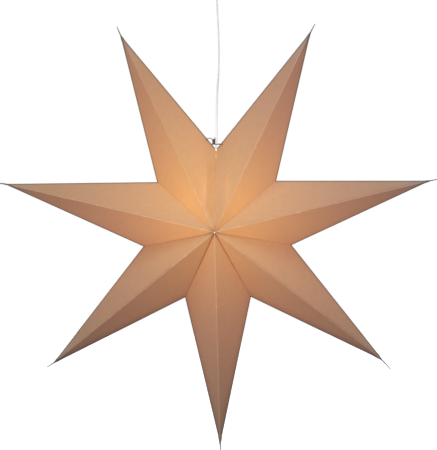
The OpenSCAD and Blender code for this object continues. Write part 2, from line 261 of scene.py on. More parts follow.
def plug(tree, socket, value):
    """Links another node's output to a socket, or sets a number or a colour on it."""
    if isinstance(value, bpy.types.NodeSocket):
        tree.links.new(value, socket)
    else:
        socket.default_value = value


def new_material(name):
    """A material with nodes, its tree and its Principled BSDF."""
    material = bpy.data.materials.new(name)
    material.use_nodes = True
    return material, material.node_tree, material.node_tree.nodes["Principled BSDF"]


def add(tree, kind, values=None, **settings):
    """Adds a shader node. settings are its own properties, and values its sockets: a number, a
    colour or another node's output."""
    node = tree.nodes.new("ShaderNode" + kind)
    for key, value in settings.items():
        setattr(node, key, value)
    for key, value in (values or {}).items():
        plug(tree, node.inputs[key], value)
    return node


def maths(tree, operation, *values):
    """One Math node, and its result."""
    return add(tree, "Math", dict(enumerate(values)), operation=operation).outputs[0]


def times(tree, *values):
    """The product of several numbers."""
    product = values[0]
    for value in values[1:]:
        product = maths(tree, "MULTIPLY", product, value)
    return product


def all_but(tree, share):
    """What a share leaves of 1."""
    return maths(tree, "SUBTRACT", 1.0, share)


def bell(tree, distance, width, top=1.0):
    """A bell curve, top times exp(-(distance / width) squared): top on the spot itself, and nothing
    a few widths away."""
    ratio = maths(tree, "DIVIDE", distance, width)
    return times(tree, maths(tree, "EXPONENT", times(tree, ratio, ratio, -1.0)), top)


def ramp(tree, value, low, high, at_low=0.0, at_high=1.0):
    """A smooth step of value from low to high."""
    node = add(tree, "MapRange", {"Value": value, "From Min": low, "From Max": high,
                                            "To Min": at_low, "To Max": at_high},
               interpolation_type="SMOOTHSTEP")
    return node.outputs["Result"]


def vectors(tree, operation, *values):
    """One Vector Math node, and its result: a number for the length and the dot product."""
    node = add(tree, "VectorMath", dict(enumerate(values)), operation=operation)
    return node.outputs["Value" if operation in ("DOT_PRODUCT", "LENGTH") else "Vector"]


def far_from(tree, place, other):
    """The distance between two places."""
    return vectors(tree, "LENGTH", vectors(tree, "SUBTRACT", place, other))


def scaled(tree, vector, amount):
    """A vector or colour times a number."""
    return add(tree, "VectorMath", {0: vector, "Scale": amount},
               operation="SCALE").outputs[0]


def apart(tree, vector):
    """The x, y and z of a vector."""
    return add(tree, "SeparateXYZ", {0: vector}).outputs


def mixed(tree, share, one, other, blend_type="MIX"):
    """One colour Mix node, and its result: one at share 0, and other, or with MULTIPLY one times
    other, at share 1. The node's colour sockets are numbers 6 and 7, and 2 is the result."""
    return add(tree, "Mix", {0: share, 6: one, 7: other}, data_type="RGBA",
               blend_type=blend_type).outputs[2]


def object_place(tree):
    """A spot's place on the object."""
    return add(tree, "TexCoord").outputs["Object"]


def seen_straight(tree):
    """1 where the camera looks straight at this, or sees it in metal or through glass, else 0."""
    ray = add(tree, "LightPath").outputs
    straight = maths(tree, "MAXIMUM", ray["Is Camera Ray"], ray["Is Glossy Ray"])
    return maths(tree, "MAXIMUM", straight, ray["Is Transmission Ray"])


def coat(tree, paint, **values):
    """Sets or links sockets of a Principled BSDF, with _ for the spaces in their names."""
    for key, value in values.items():
        plug(tree, paint.inputs[key.replace("_", " ")], value)


def shine(tree, paint, colour, strength=1.0):
    """Lets a surface give off a colour."""
    coat(tree, paint, Emission_Color=colour, Emission_Strength=strength)


def relief(tree, paint, height, strength, depth=0.1 * MM):
    """Fine relief from a height."""
    bump = add(tree, "Bump", {"Strength": strength, "Distance": depth, "Height": height})
    tree.links.new(bump.outputs[0], paint.inputs["Normal"])


# %% Floor
FLOOR_DROP, FLOOR_SIZE = 0.32, 8
FLOOR_COLOUR, FLOOR_ROUGHNESS = grey(0.56), 0.9
FLOOR_SHOWN = grey(0.78)
floor_z, corner = cad_bounds[0][2] - FLOOR_DROP, FLOOR_SIZE / 2
floor_points = [[-corner, -corner, floor_z], [corner, -corner, floor_z],
                [corner, corner, floor_z], [-corner, corner, floor_z]]
floor = make_mesh("floor", floor_points, [np.array([[0, 1, 2, 3]])], smooth=False)
floor_material, tree, paint = new_material("pale_floor")
coat(tree, paint, Base_Color=FLOOR_COLOUR, Roughness=FLOOR_ROUGHNESS)
shine(tree, paint, mixed(tree, seen_straight(tree), BLACK, FLOOR_SHOWN))
floor.data.materials.append(floor_material)
print("floor at", round(floor_z, 3), "m")

# %% World and lamps
AMBIENT = 0.42
LAMP_DISTANCE, LAMP_SIZE = 3.2, 1.6
bpy.context.scene.view_settings.view_transform = "Standard"
world = bpy.data.worlds.new("room")
bpy.context.scene.world = world
world.use_nodes = True
tree = world.node_tree
tree.nodes.clear()
sky = add(tree, "Background", {"Color": WHITE, "Strength": AMBIENT})
backdrop = add(tree, "Background", {"Color": WHITE, "Strength": 1.0})
both = add(tree, "MixShader",
           {0: seen_straight(tree), 1: sky.outputs[0], 2: backdrop.outputs[0]})
add(tree, "OutputWorld", {"Surface": both.outputs[0]})


def soft_lamp(name, azimuth, elevation, power):
    """A large round lamp that looks at the star's centre."""
    data = bpy.data.lights.new(name, "AREA")
    data.shape = "DISK"
    data.size = LAMP_SIZE
    data.energy = power
    lamp = bpy.data.objects.new(name, data)
    bpy.context.scene.collection.objects.link(lamp)
    azimuth, elevation = radians(azimuth), radians(elevation)
    direction = Vector((sin(azimuth) * cos(elevation), -cos(azimuth) * cos(elevation),
                        sin(elevation)))
    lamp.location = Vector(CENTRE) + LAMP_DISTANCE * direction
    lamp.rotation_euler = direction.to_track_quat("Z", "Y").to_euler()
    print(name, power, "W at", [round(c, 2) for c in lamp.location])


soft_lamp("window", -14, 55, 60)
soft_lamp("far_window", 166, 35, 35)

# %% [markdown]
# ## Effects that several materials share
# The bulb's light comes through the paper. How much of it a spot shows depends on its distance
# from the bulb, on the angle at which the light meets the panel, and on the light that goes to and
# fro inside the star. One group works this out from the spot's place, so the glow belongs to the
# star and stays where it is from all sides. The others give what lies inside the star its share of
# that light, paper its cloudy fibres, and moulded plastic its faint grain.


# %% Making and using groups
def new_group(name, inputs, outputs):
    """An empty node group. inputs and outputs give each socket's kind, or its first value."""
    group = bpy.data.node_groups.new(name, "ShaderNodeTree")
    for direction, sockets in (("INPUT", inputs), ("OUTPUT", outputs)):
        for label, value in sockets.items():
            named = isinstance(value, str)
            kind = value if named else "Float" if isinstance(value, float) else "Color"
            socket = group.interface.new_socket(label, in_out=direction,
                                                socket_type="NodeSocket" + kind)
            if not named:
                socket.default_value = value
    return group, group.nodes.new("NodeGroupInput").outputs, group.nodes.new("NodeGroupOutput")


def use(tree, group, values=None):
    """Places a group in a tree, and returns its outputs."""
    return add(tree, "Group", values, node_tree=group).outputs


def noise(tree, place, size, detail, **values):
    """A cloudy pattern between 0 and 1, its clouds about size metres across."""
    node = add(tree, "TexNoise", {"Vector": place, "Detail": detail,
                                            "Scale": maths(tree, "DIVIDE", 1.0, size), **values})
    return node.outputs["Fac"]


def to_front(tree, vector):
    """The vector with its y made -|y|, so that the star's back is treated as its front."""
    x, y, z = apart(tree, vector)
    y = times(tree, maths(tree, "ABSOLUTE", y), -1.0)
    return add(tree, "CombineXYZ", {0: x, 1: y, 2: z}).outputs[0]


# %% The bulb's light
BULB_PLACE = (CENTRE[0], -60 * MM, CENTRE[2] + 66 * MM)
HAZE_PLACE = (CENTRE[0], 0, CENTRE[2] + 93 * MM)

glow_group, given, out = new_group("bulb_glow", {
    "Place": "Vector", "Normal": "Vector", "Spread": 0.3, "Core": 0.13, "Near": 0.3,
    "Direct colour": WHITE, "Core colour": WHITE, "Near colour": WHITE}, {"Glow": "Color"})
g = glow_group
to_bulb = vectors(g, "SUBTRACT", BULB_PLACE, to_front(g, given["Place"]))
distance = vectors(g, "LENGTH", to_bulb)
slant = vectors(g, "DOT_PRODUCT", to_bulb, to_front(g, given["Normal"]))
slant = maths(g, "DIVIDE", maths(g, "ABSOLUTE", slant), distance)
ratio = maths(g, "DIVIDE", distance, given["Spread"])
direct = maths(g, "DIVIDE", slant, maths(g, "MULTIPLY_ADD", ratio, ratio, 1.0))
core = bell(g, distance, given["Core"])
near = bell(g, far_from(g, given["Place"], HAZE_PLACE), given["Near"])
total = vectors(g, "ADD", scaled(g, given["Direct colour"], direct),
                scaled(g, given["Core colour"], core))
total = vectors(g, "ADD", total, scaled(g, given["Near colour"], near))
g.links.new(total, out.inputs["Glow"])

near_bulb_group, given, out = new_group("near_bulb", {"Place": "Vector", "Reach": 0.17},
                                        {"Share": "Float"})
g = near_bulb_group
g.links.new(bell(g, far_from(g, given["Place"], BULB_PLACE), given["Reach"]), out.inputs["Share"])
print("the bulb shines from", [round(c, 3) for c in BULB_PLACE])

# %% Fibres and grain
HANDLING_SIZE = 1 / 45

fibre_group, given, out = new_group(
    "paper_fibres", {"Place": "Vector", "Cloud size": 0.012, "Fibre size": 0.0012},
    {"Clouds": "Float", "Fibres": "Float"})
g = fibre_group
clouds = noise(g, given["Place"], given["Cloud size"], 4.0, Roughness=0.6)
fibres = noise(g, given["Place"], given["Fibre size"], 3.0, Roughness=0.65, Distortion=1.2)
g.links.new(clouds, out.inputs["Clouds"])
g.links.new(fibres, out.inputs["Fibres"])

grain_group, given, out = new_group("plastic_grain", {"Place": "Vector", "Grain size": 0.0008},
                                    {"Grain": "Float", "Handling": "Float"})
g = grain_group
g.links.new(noise(g, given["Place"], given["Grain size"], 2.0), out.inputs["Grain"])
g.links.new(noise(g, given["Place"], HANDLING_SIZE, 4.0, Roughness=0.7), out.inputs["Handling"])
print("groups:", [group.name for group in bpy.data.node_groups])

# %% [markdown]
# ## Paper
# The sheet is dyed a warm beige, matt and slightly cloudy when light comes through. Nine numbers
# on each point of its mesh say where that point lies: how far it is in millimetres from the ridge
# fold, the glued joint and the side fold, then from the pinched end, from the open seam and up
# along that seam, and last how light its panel, how strong the painted highlight on its ridge and
# how dark the painted shade in its joint is.
#
# Along a ridge the fibres are broken, so more light comes through, and a painted highlight lies
# along it. Along a joint the bands behind it keep the light off, and the pinched ends are too
# thick to let any through. The paper's own colour also carries painted shade in the joints, on
# the side folds, at the star's middle, along the lower edges of panels that look down and at the
# pinched end, and painted light: paler tips, a warmer light on the upper left and a cooler one on
# the upper right. Beside the open seam lies a card that darkens a strip. The sheet's two faces
# share all of this as one group.

# %% The paper's numbers
LAYERS = {"folds": ("ridge", "joint", "side"), "places": ("to_end", "seam", "up_seam"),
          "sheet": ("tone", "wear", "joint_line")}
PAPER_COLOUR = (0.228, 0.185, 0.113, 1)
# Painted light: the tip colour is paler in place of the glow that the thick tip holds back.
TIP_COLOUR = (0.250, 0.218, 0.175, 1)
# A painted highlight on the ridges.
RIDGE_HIGHLIGHT_COLOUR = (0.42, 0.36, 0.30, 1)
# The next four colours are painted shade: in the joints, along the lower edges, on the side folds
# and at the pinched end.
JOINT_SHADE_COLOUR = (0.13, 0.075, 0.05, 1)
LOW_EDGE_SHADE_COLOUR = (0.09, 0.065, 0.05, 1)
SIDE_SHADE_COLOUR = (0.09, 0.07, 0.055, 1)
END_SHADE_COLOUR = (0.12, 0.115, 0.11, 1)
GLOW = {"Spread": 0.319, "Core": 0.200, "Near": 0.478, "Direct colour": (0.263, 0.110, 0.018, 1),
        "Core colour": (0.155, 0.113, 0.010, 1), "Near colour": (0.360, 0.112, 0.078, 1)}
SEAM_TINT, JOINT_TINT = (0.90, 0.88, 0.83, 1), (0.62, 0.34, 0.40, 1)
# Painted shade: the edge tint on the light along lower edges, and the under tint where panels look
# down.
LOW_EDGE_SHADE_TINT, UNDERSIDE_SHADE_TINT = (0.35, 0.22, 0.22, 1), (0.99, 0.97, 0.985, 1)
# Painted light: a warmer light on the upper left and a cooler one on the upper right.
LEFT_LIGHT_HUE, RIGHT_LIGHT_HUE = (1.0, 1.0, 0.91, 1), (0.97, 0.99, 1.04, 1)
CARD_WIDTHS = (19.0, 23.0)
CARD_LEFT, CARD_RIGHT = (0.465, 0.182, 0.055, 1), (0.520, 0.222, 0.104, 1)
RIDGE_LINE, JOINT_LINE, SIDE_LINE, LOW_EDGE = 1.0, 1.5, 3.1, 13.0
MIDDLE_PLACE, MIDDLE_SPOT = (CENTRE[0] - 2 * MM, 0, CENTRE[2]), 11.0
INSIDE_LIGHT = (2.6, 3.25, 5.72, 1)


# %% A spot on the sheet
def read_spot(tree, place, normal):
    """What is known of a spot of the sheet: its nine numbers, its place and its distance from the
    star's middle, and masks between 0 and 1 that are made from them."""
    spot = SimpleNamespace(place=place, normal=normal)
    for layer, parts in LAYERS.items():
        vector = add(tree, "Attribute", attribute_name=layer).outputs["Vector"]
        vars(spot).update(zip(parts, apart(tree, vector)))
    spot.x, _, spot.z = apart(tree, place)
    flat = add(tree, "CombineXYZ", {0: spot.x, 2: spot.z}).outputs[0]
    spot.from_middle = times(tree, far_from(tree, flat, MIDDLE_PLACE), 1 / MM)
    fibre = use(tree, fibre_group, {"Place": place})
    spot.clouds, spot.fibres = fibre["Clouds"], fibre["Fibres"]
    spot.end = ramp(tree, spot.to_end, 43.0, 23.0)
    spot.middle = bell(tree, spot.from_middle, MIDDLE_SPOT, 0.35)
    spot.down = ramp(tree, apart(tree, normal)[2], 0.1, -0.35)
    # Painted highlight along the ridges, and at flecks on them.
    spot.on_ridge = times(tree, bell(tree, spot.ridge, RIDGE_LINE), spot.wear)
    spot.flecks = times(tree, bell(tree, spot.ridge, 1.6 * RIDGE_LINE),
                        times(tree, ramp(tree, spot.clouds, 0.55, 0.68), spot.wear))
    # Painted shade in the joints.
    spot.at_joint = times(tree, bell(tree, spot.joint, JOINT_LINE), spot.joint_line,
                          ramp(tree, spot.from_middle, 175.0, 45.0, 0.3, 1.0))
    # Painted shade along the lower edges of panels that look down.
    spot.low_edge = times(tree, bell(tree, spot.side, LOW_EDGE, 0.6), spot.down,
                          ramp(tree, spot.to_end, 340.0, 70.0, 0.5, 1.0),
                          ramp(tree, spot.z, CENTRE[2] + 0.02, CENTRE[2] - 0.12, 0.25, 1.0))
    return spot


def own_colour(tree, spot):
    """The paper's colour: cloudy, paler and greyer toward the tip as painted light in place of the
    glow that the thick tip holds back, with a painted highlight along the ridges, and painted shade
    in the joints, on the side folds and at the star's middle, along the lower edges and at the
    pinched end."""
    clouds = mixed(tree, ramp(tree, spot.clouds, 0.3, 0.7), grey(0.97), grey(1.03))
    colour = mixed(tree, 1.0, PAPER_COLOUR, clouds, "MULTIPLY")
    # Painted shade along the side folds and at the star's middle.
    side_shade = maths(tree, "MAXIMUM", bell(tree, spot.side, SIDE_LINE, 0.8), spot.middle)
    for mask, other in ((ramp(tree, spot.to_end, 120.0, 40.0), TIP_COLOUR),
                        (times(tree, spot.on_ridge, 0.4), RIDGE_HIGHLIGHT_COLOUR),
                        (times(tree, spot.at_joint, 0.5), JOINT_SHADE_COLOUR),
                        (spot.low_edge, LOW_EDGE_SHADE_COLOUR), (side_shade, SIDE_SHADE_COLOUR),
                        (spot.end, END_SHADE_COLOUR)):
        colour = mixed(tree, mask, colour, other)
    return colour


def panel_tint(tree, spot):
    """How the panels differ: a painted warmer, yellower light on the upper left and a painted
    cooler one on the upper right, a pinker painted shade where they look down, and each with the
    lightness that its mesh carries."""
    hue = mixed(tree, ramp(tree, spot.x, -0.10, 0.10), LEFT_LIGHT_HUE, RIGHT_LIGHT_HUE)
    hue = mixed(tree, ramp(tree, spot.z, CENTRE[2], CENTRE[2] + 0.12), WHITE, hue)
    hue = mixed(tree, spot.down, hue, UNDERSIDE_SHADE_TINT, "MULTIPLY")
    return mixed(tree, 1.0, hue, spot.tone, "MULTIPLY")


def seam_card(tree, spot):
    """The card strips beside the open seam: where they lie, the light that comes through them, and
    how much brighter the paper is right beside them, low on the seam."""
    at_right = ramp(tree, spot.x, -1 * MM, 1 * MM)
    full_width = ramp(tree, at_right, 0.0, 1.0, *CARD_WIDTHS)
    width = times(tree, full_width, ramp(tree, spot.up_seam, 14.0, 60.0))
    card = ramp(tree, maths(tree, "SUBTRACT", width, spot.seam), -0.8, 0.8)
    card = times(tree, card, ramp(tree, spot.up_seam, 165.0, 135.0, 0.0, 0.75))
    beside = maths(tree, "SUBTRACT", spot.seam, maths(tree, "ADD", full_width, 5.0))
    beside = times(tree, bell(tree, beside, 9.0, 0.10), ramp(tree, spot.up_seam, 125.0, 85.0))
    return card, mixed(tree, at_right, CARD_LEFT, CARD_RIGHT), beside


def light_through(tree, spot):
    """The bulb's light that comes through the sheet, and how much of it is left at the folds, at
    the star's middle and toward the pinched end."""
    card, card_glow, beside_card = seam_card(tree, spot)
    glow = use(tree, glow_group, {"Place": spot.place, "Normal": spot.normal, **GLOW})["Glow"]
    glow = mixed(tree, card, glow, card_glow)
    top_seam = times(tree, bell(tree, spot.seam, 30.0), ramp(tree, spot.up_seam, 110.0, 160.0))
    for mask, tint in ((top_seam, SEAM_TINT), (spot.at_joint, JOINT_TINT),
                       (spot.low_edge, LOW_EDGE_SHADE_TINT)):
        glow = mixed(tree, mask, glow, tint, "MULTIPLY")
    held_off = maths(tree, "ADD", spot.middle, bell(tree, spot.from_middle, 65.0, 0.05))
    threads = ramp(tree, spot.fibres, 0.35, 0.65, 0.965, 1.035)
    # Painted highlight: more light along the ridges and at flecks on them.
    ridge_sheen = maths(tree, "ADD", times(tree, spot.on_ridge, 0.10), times(tree, spot.flecks, 0.35))
    side_shade = bell(tree, spot.side, SIDE_LINE, 0.85)
    left = times(tree, all_but(tree, held_off), all_but(tree, side_shade),
                 all_but(tree, spot.end), ramp(tree, spot.to_end, 20.0, 85.0, 0.5, 1.0),
                 ramp(tree, spot.clouds, 0.2, 0.8, 0.975, 1.025),
                 maths(tree, "ADD", threads, beside_card), maths(tree, "ADD", ridge_sheen, 1.0))
    return scaled(tree, glow, left)


# %% Paper materials
sheet_group, given, out = new_group(
    "folded_sheet", {"Place": "Vector", "Normal": "Vector", "Light": WHITE},
    {"Colour": "Color", "Glow": "Color", "Fibres": "Float"})
g = sheet_group
spot = read_spot(g, given["Place"], given["Normal"])
tint = panel_tint(g, spot)
light = vectors(g, "MULTIPLY", light_through(g, spot), tint)
g.links.new(mixed(g, 1.0, own_colour(g, spot), tint, "MULTIPLY"), out.inputs["Colour"])
g.links.new(vectors(g, "MULTIPLY", light, given["Light"]), out.inputs["Glow"])
g.links.new(spot.fibres, out.inputs["Fibres"])


def paper_material(name, light):
    """One face of the star's paper, with light as the share of the bulb's light that it shows."""
    material, tree, paint = new_material(name)
    place = object_place(tree)
    normal = add(tree, "NewGeometry").outputs["True Normal"]
    sheet = use(tree, sheet_group, {"Place": place, "Normal": normal, "Light": light})
    coat(tree, paint, Base_Color=sheet["Colour"], Roughness=0.78, Specular_IOR_Level=0.25)
    shine(tree, paint, sheet["Glow"])
    relief(tree, paint, sheet["Fibres"], 0.25, 0.2 * MM)
    return material


paper_outside = paper_material("star_paper", WHITE)
paper_inside = paper_material("star_paper_inside", INSIDE_LIGHT)
print("paper:", len(sheet_group.nodes), "nodes in the group of its two faces")

# %% [markdown]
# ## Plastic, metal, glass and card
# The lampholder and the ceiling fitting are white moulded plastic, the cord's skin is softer and
# greyer, the tie's coat is dark brown. The brass and the bulb lie inside. What the bulb lights up
# inside the star gets its warm light painted in, as the paper does.

# %% Other materials
CORNER_Z = CENTRE[2] + 181 * MM


def moulded(name, colour, worn_colour, roughness, grain_size, bump, glow=None, reach=0.17,
            low_glow=None):
    """Moulded plastic: a colour that handling has changed in clouds, a roughness to match, and a
    faint grain. glow is the colour that the bulb's light gives it, where the bulb is near, and
    low_glow the same inside the star's open corner."""
    material, tree, paint = new_material(name)
    place = object_place(tree)
    grain = use(tree, grain_group, {"Place": place, "Grain size": grain_size})
    handled = ramp(tree, grain["Handling"], 0.35, 0.7)
    rough = ramp(tree, grain["Handling"], 0.3, 0.7, roughness - 0.05, roughness + 0.08)
    coat(tree, paint, Base_Color=mixed(tree, handled, colour, worn_colour), Roughness=rough)
    relief(tree, paint, grain["Grain"], bump)
    if low_glow:
        above = ramp(tree, apart(tree, place)[2], CORNER_Z - 3 * MM, CORNER_Z + 2 * MM)
        glow = mixed(tree, above, low_glow, glow)
    if glow:
        share = use(tree, near_bulb_group, {"Place": place, "Reach": reach})["Share"]
        shine(tree, paint, mixed(tree, share, BLACK, glow))
    return material


def metal(name, colour, dull_colour, roughness):
    """Bare metal, duller in clouds, with fine marks."""
    material, tree, paint = new_material(name)
    place = object_place(tree)
    fibre = use(tree, fibre_group, {"Place": place, "Cloud size": 0.006, "Fibre size": 0.0006})
    dull = mixed(tree, ramp(tree, fibre["Clouds"], 0.4, 0.7), colour, dull_colour)
    rough = ramp(tree, fibre["Clouds"], 0.3, 0.7, roughness, roughness + 0.15)
    coat(tree, paint, Base_Color=dull, Roughness=rough, Metallic=1.0)
    relief(tree, paint, fibre["Fibres"], 0.2)
    return material


holder_plastic = moulded("holder_plastic", (0.80, 0.79, 0.76, 1), (0.70, 0.67, 0.60, 1),
                         0.36, 0.0008, 0.15, glow=(1.0, 0.72, 0.46, 1))
insulator = moulded("insulator", (0.74, 0.71, 0.64, 1), (0.62, 0.57, 0.48, 1),
                    0.28, 0.0012, 0.1, glow=(0.50, 0.30, 0.14, 1))
fitting_plastic = moulded("fitting_plastic", (0.80, 0.80, 0.78, 1), (0.74, 0.73, 0.70, 1),
                          0.34, 0.0007, 0.12)
cord_sheath = moulded("cord_sheath", (0.90, 0.91, 0.89, 1), (0.85, 0.86, 0.84, 1),
                      0.45, 0.0006, 0.1, glow=(0.37, 0.42, 0.48, 1), reach=0.19,
                      low_glow=(1.6, 1.15, 0.75, 1))
tie_coat = moulded("tie_coat", (0.070, 0.036, 0.028, 1), (0.13, 0.085, 0.070, 1),
                   0.42, 0.0005, 0.2)
brass = metal("contact_brass", (0.78, 0.57, 0.27, 1), (0.52, 0.36, 0.17, 1), 0.28)

# %% Card and bulb
CARD_DARK, CARD_PALE = (0.38, 0.33, 0.26, 1), (0.50, 0.45, 0.37, 1)
card_board, tree, paint = new_material("seam_card")
place = object_place(tree)
fibre = use(tree, fibre_group, {"Place": place, "Cloud size": 0.02, "Fibre size": 0.0009})
fibres = mixed(tree, ramp(tree, fibre["Fibres"], 0.35, 0.65), CARD_DARK, CARD_PALE)
coat(tree, paint, Base_Color=fibres, Roughness=0.85)
share = use(tree, near_bulb_group, {"Place": place, "Reach": 0.15})["Share"]
shine(tree, paint, mixed(tree, share, BLACK, (0.80, 0.50, 0.26, 1)))

CAP_HEIGHT, GLOBE_RADIUS = 22 * MM, 22 * MM
GLASS_COLOUR, CAP_COLOUR = (0.86, 0.84, 0.80, 1), (0.72, 0.66, 0.52, 1)
HOT_COLOUR, COOL_COLOUR, BULB_STRENGTH = (1.0, 0.80, 0.50, 1), (0.95, 0.55, 0.24, 1), 2.2
bulb_glass, tree, paint = new_material("bulb_glass")
place = object_place(tree)
frost = use(tree, grain_group, {"Place": place, "Grain size": 0.0005})
cap_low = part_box("bulb")[1].z - CAP_HEIGHT
on_cap = ramp(tree, apart(tree, place)[2], cap_low - 0.3 * MM, cap_low + 0.3 * MM)
coat(tree, paint, Base_Color=mixed(tree, on_cap, GLASS_COLOUR, CAP_COLOUR), Metallic=on_cap,
     Roughness=ramp(tree, frost["Handling"], 0.3, 0.7, 0.30, 0.42))
from_globe = far_from(tree, place, (0, 0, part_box("bulb")[0].z + GLOBE_RADIUS))
cooler = ramp(tree, maths(tree, "DIVIDE", from_globe, 0.05), 0.4, 1.1)
lit = mixed(tree, cooler, HOT_COLOUR, COOL_COLOUR)
shine(tree, paint, mixed(tree, on_cap, lit, BLACK), BULB_STRENGTH)

# %% Dress the CAD's own pieces
for material, names in ((holder_plastic, ("holder_cap", "holder_skirt", "cord_grip")),
                        (fitting_plastic, ("cord_lock", "ceiling_cup", "ceiling_plate")),
                        (brass, ("screw_shell", "centre_contact")),
                        (card_board, ("seam_card_left", "seam_card_right")),
                        (insulator, ("contact_block",)), (bulb_glass, ("bulb",))):
    for name in names:
        own_slots = bpy.data.objects[name].data.materials
        own_slots.clear()
        own_slots.append(material)
cord.data.materials.append(cord_sheath)
print("materials:", len(bpy.data.materials))

# %% [markdown]
# ## A folded point
# Each point of the star is one sheet of paper with four panels. Its front and back folds run from
# the star's centre to the tip, its side folds from the corners. So a point is a cone over a closed
# line: every line of the surface runs from that base line to the tip. The sheet's inner face is
# the same cone, moved along the point until the panels are one paper thickness apart.
#
# A fold in paper is never a knife edge, so the surface turns round it on a small quadratic curve.
# A panel is never quite flat either: it swells by about a millimetre in its middle. The last
# centimetres are pinched flat and bent a little by hand.

# %% The seven points in numbers
HALF = pi / 7
FOLD_REACH = 495 * MM
DEPTH = 140 * MM
CORNER, SEAM_CORNER = 174 * MM, 181 * MM
PAPER = 0.4 * MM
GLUE = 0.1 * MM
SEAM_GAP = 1.6 * MM
HOLE = 1.6 * MM
FOLD = 0.9 * MM
FOLD_SHARE, NECK_SHARE, SUPPORT = 0.06, 0.45, 2.4
SWELL = (0.5 * MM, 1.5 * MM)
BAND, BAND_RELIEF = 9 * MM, 10 * MM
OUT_BY = np.array([-1, 5, -1, 4, -9, 1, 0]) * MM
SIDE_BY = np.array([1, 3, 2, 1, -4, -6, -3]) * MM
PINCHES = np.array([26, 12, 28, 30, 38, 20, 26]) * MM
WHISKERS = np.array([18, 18, 14, 30, 24, 18, 18]) * MM
corner_x = CORNER * cos(HALF)
even_foot = CORNER * sin(HALF) * FOLD_REACH / (FOLD_REACH - corner_x)
INSET = PAPER * FOLD_REACH * (FOLD_REACH ** -2 + even_foot ** -2 + DEPTH ** -2) ** 0.5
print("paper moves by", round(INSET / MM, 2), "mm along a point for its", PAPER / MM, "mm")


def to_star(points, i):
    """Takes point i's own frame, x along the point, into the star's frame."""
    return turned(points, pi / 2 + HALF * (2 * i + 1))


def from_row(points, i):
    """Takes points of the row's frame back into point i's own frame."""
    points = turned(points + (0, 0, DROP), -LEAN, SHOULDER)
    return turned(points, -pi / 2 - HALF * (2 * i + 1))


def is_seam(i, side):
    """The open seam on top lies between the last point and the first."""
    return (i, side) in ((0, -1), (6, 1))


# %% Four panels as one ring
ALONG = np.concatenate([np.linspace(0, 0.04, 5)[:-1], np.linspace(0.04, 0.9, 30)[:-1],
                        np.linspace(0.9, 1, 6)])
ACROSS = np.concatenate([np.linspace(0.08, 0.8, 9), np.linspace(0.835, 0.985, 10)])
FOLD_STEPS = np.array([0.25, 0.5, 0.75])


def base_lines(i):
    """Corners of point i's base line, in its own frame: the four folds in order, front, one side,
    back, other side, and for each of the four panels the start of its glued edge."""
    tip = np.array([FOLD_REACH + OUT_BY[i], 0, SIDE_BY[i]])
    reach = {side: SEAM_CORNER if is_seam(i, side) else CORNER for side in (1, -1)}
    outer = {side: reach[side] * np.array([cos(HALF), 0, side * sin(HALF)]) for side in reach}
    middle = {depth: np.array([0, depth * DEPTH, 0]) for depth in (-1, 1)}
    ridge = {depth: middle[depth] + (tip - middle[depth]) * HOLE / tip[0] for depth in middle}
    starts = [middle[depth] + (outer[side] - middle[depth]) * HOLE / reach[side]
              for depth, side in ((-1, 1), (1, 1), (1, -1), (-1, -1))]
    return tip, [ridge[-1], outer[1], ridge[1], outer[-1]], starts


def sheet_ring(i, layer, swell):
    """All points of one face of point i's sheet: an array of stations along the point by places
    round it. layer is 0 for the outer face and 1 for the inner one."""
    tip, folds, starts = base_lines(i)
    t = ALONG[:, None] * (1 - PINCHES[i] / FOLD_REACH)

    def line(base, side):
        """The straight line from a base point to the tip, on this face of the sheet."""
        normal = np.array([sin(HALF), 0, -side * cos(HALF)])
        gap = GLUE / 2
        if is_seam(i, side):
            gap = max(gap, SEAM_GAP / 2 * np.hypot(base[0], base[2]) / SEAM_CORNER)
        cut = (layer * INSET * normal[0] + gap) / (normal @ tip)
        base = base + (tip - base) * cut - np.array([layer * INSET, 0, 0])
        end = tip - np.array([layer * INSET, 0, 0])
        return base + (end - base) * t

    ring, panels = [], []
    sides = (1, 1, -1, -1)
    for turn in range(4):
        one, other = (line(fold, sides[turn]) for fold in (folds[turn], folds[(turn + 1) % 4]))
        if turn % 2:
            one, other = other, one
        start = line(starts[turn], sides[turn])
        width = np.linalg.norm(other - start, axis=1)[:, None]
        neck = np.linalg.norm(start - one, axis=1)[:, None]
        near = one + (start - one) * np.minimum(FOLD / neck, NECK_SHARE)
        away = np.minimum(FOLD, FOLD_SHARE * width) / width
        last = start + (other - start) * (1 - away)
        support = start + (other - start) * (1 - SUPPORT * away)
        w = ACROSS[None, :, None]
        inside = start[:, None] + (support - start)[:, None] * w
        normal = np.cross(other[5] - one[5], tip - one[5])
        normal *= np.sign(normal[1] * (-1 if turn in (0, 3) else 1)) / np.linalg.norm(normal)
        rise = np.sin(pi * w) * np.sin(pi * np.clip(t / 0.9, 0, 1))[:, None] ** 0.8
        inside = inside + swell[turn] * rise * normal
        panel = np.concatenate([near[:, None], start[:, None], inside, support[:, None],
                                last[:, None]], 1)
        panels.append(panel if turn % 2 == 0 else panel[:, ::-1])
    for turn in range(4):
        before, after = panels[turn - 1][:, -1], panels[turn][:, 0]
        fold = line(folds[turn], sides[turn])
        q = FOLD_STEPS[None, :, None]
        bend = ((1 - q) ** 2 * before[:, None] + 2 * q * (1 - q) * fold[:, None]
                + q ** 2 * after[:, None])
        ring += [bend, panels[turn]]
    return np.concatenate(ring, 1)


# %% [markdown]
# ## Bands, rim and pinched end
# At its base the sheet turns inward and runs on as a band, which is glued to the band of the next
# point. The bands are cut off slantwise near the centre and near the corners. The pinched end
# continues the rings: their width shrinks to a narrow strip while their depth runs out, and the
# strip waves and bends a little.

# %% From rings to a point
BENDS = np.array([-1.5, 1.5, -3.0, 0.5, -6.0, -1.0, -1.5]) * MM
PINCH_RINGS, PINCHED_BY = 15, 0.45
END_HALF_WIDTH, END_TAPER = 1.8 * MM, 0.55
END_WAVE = 0.8 * MM


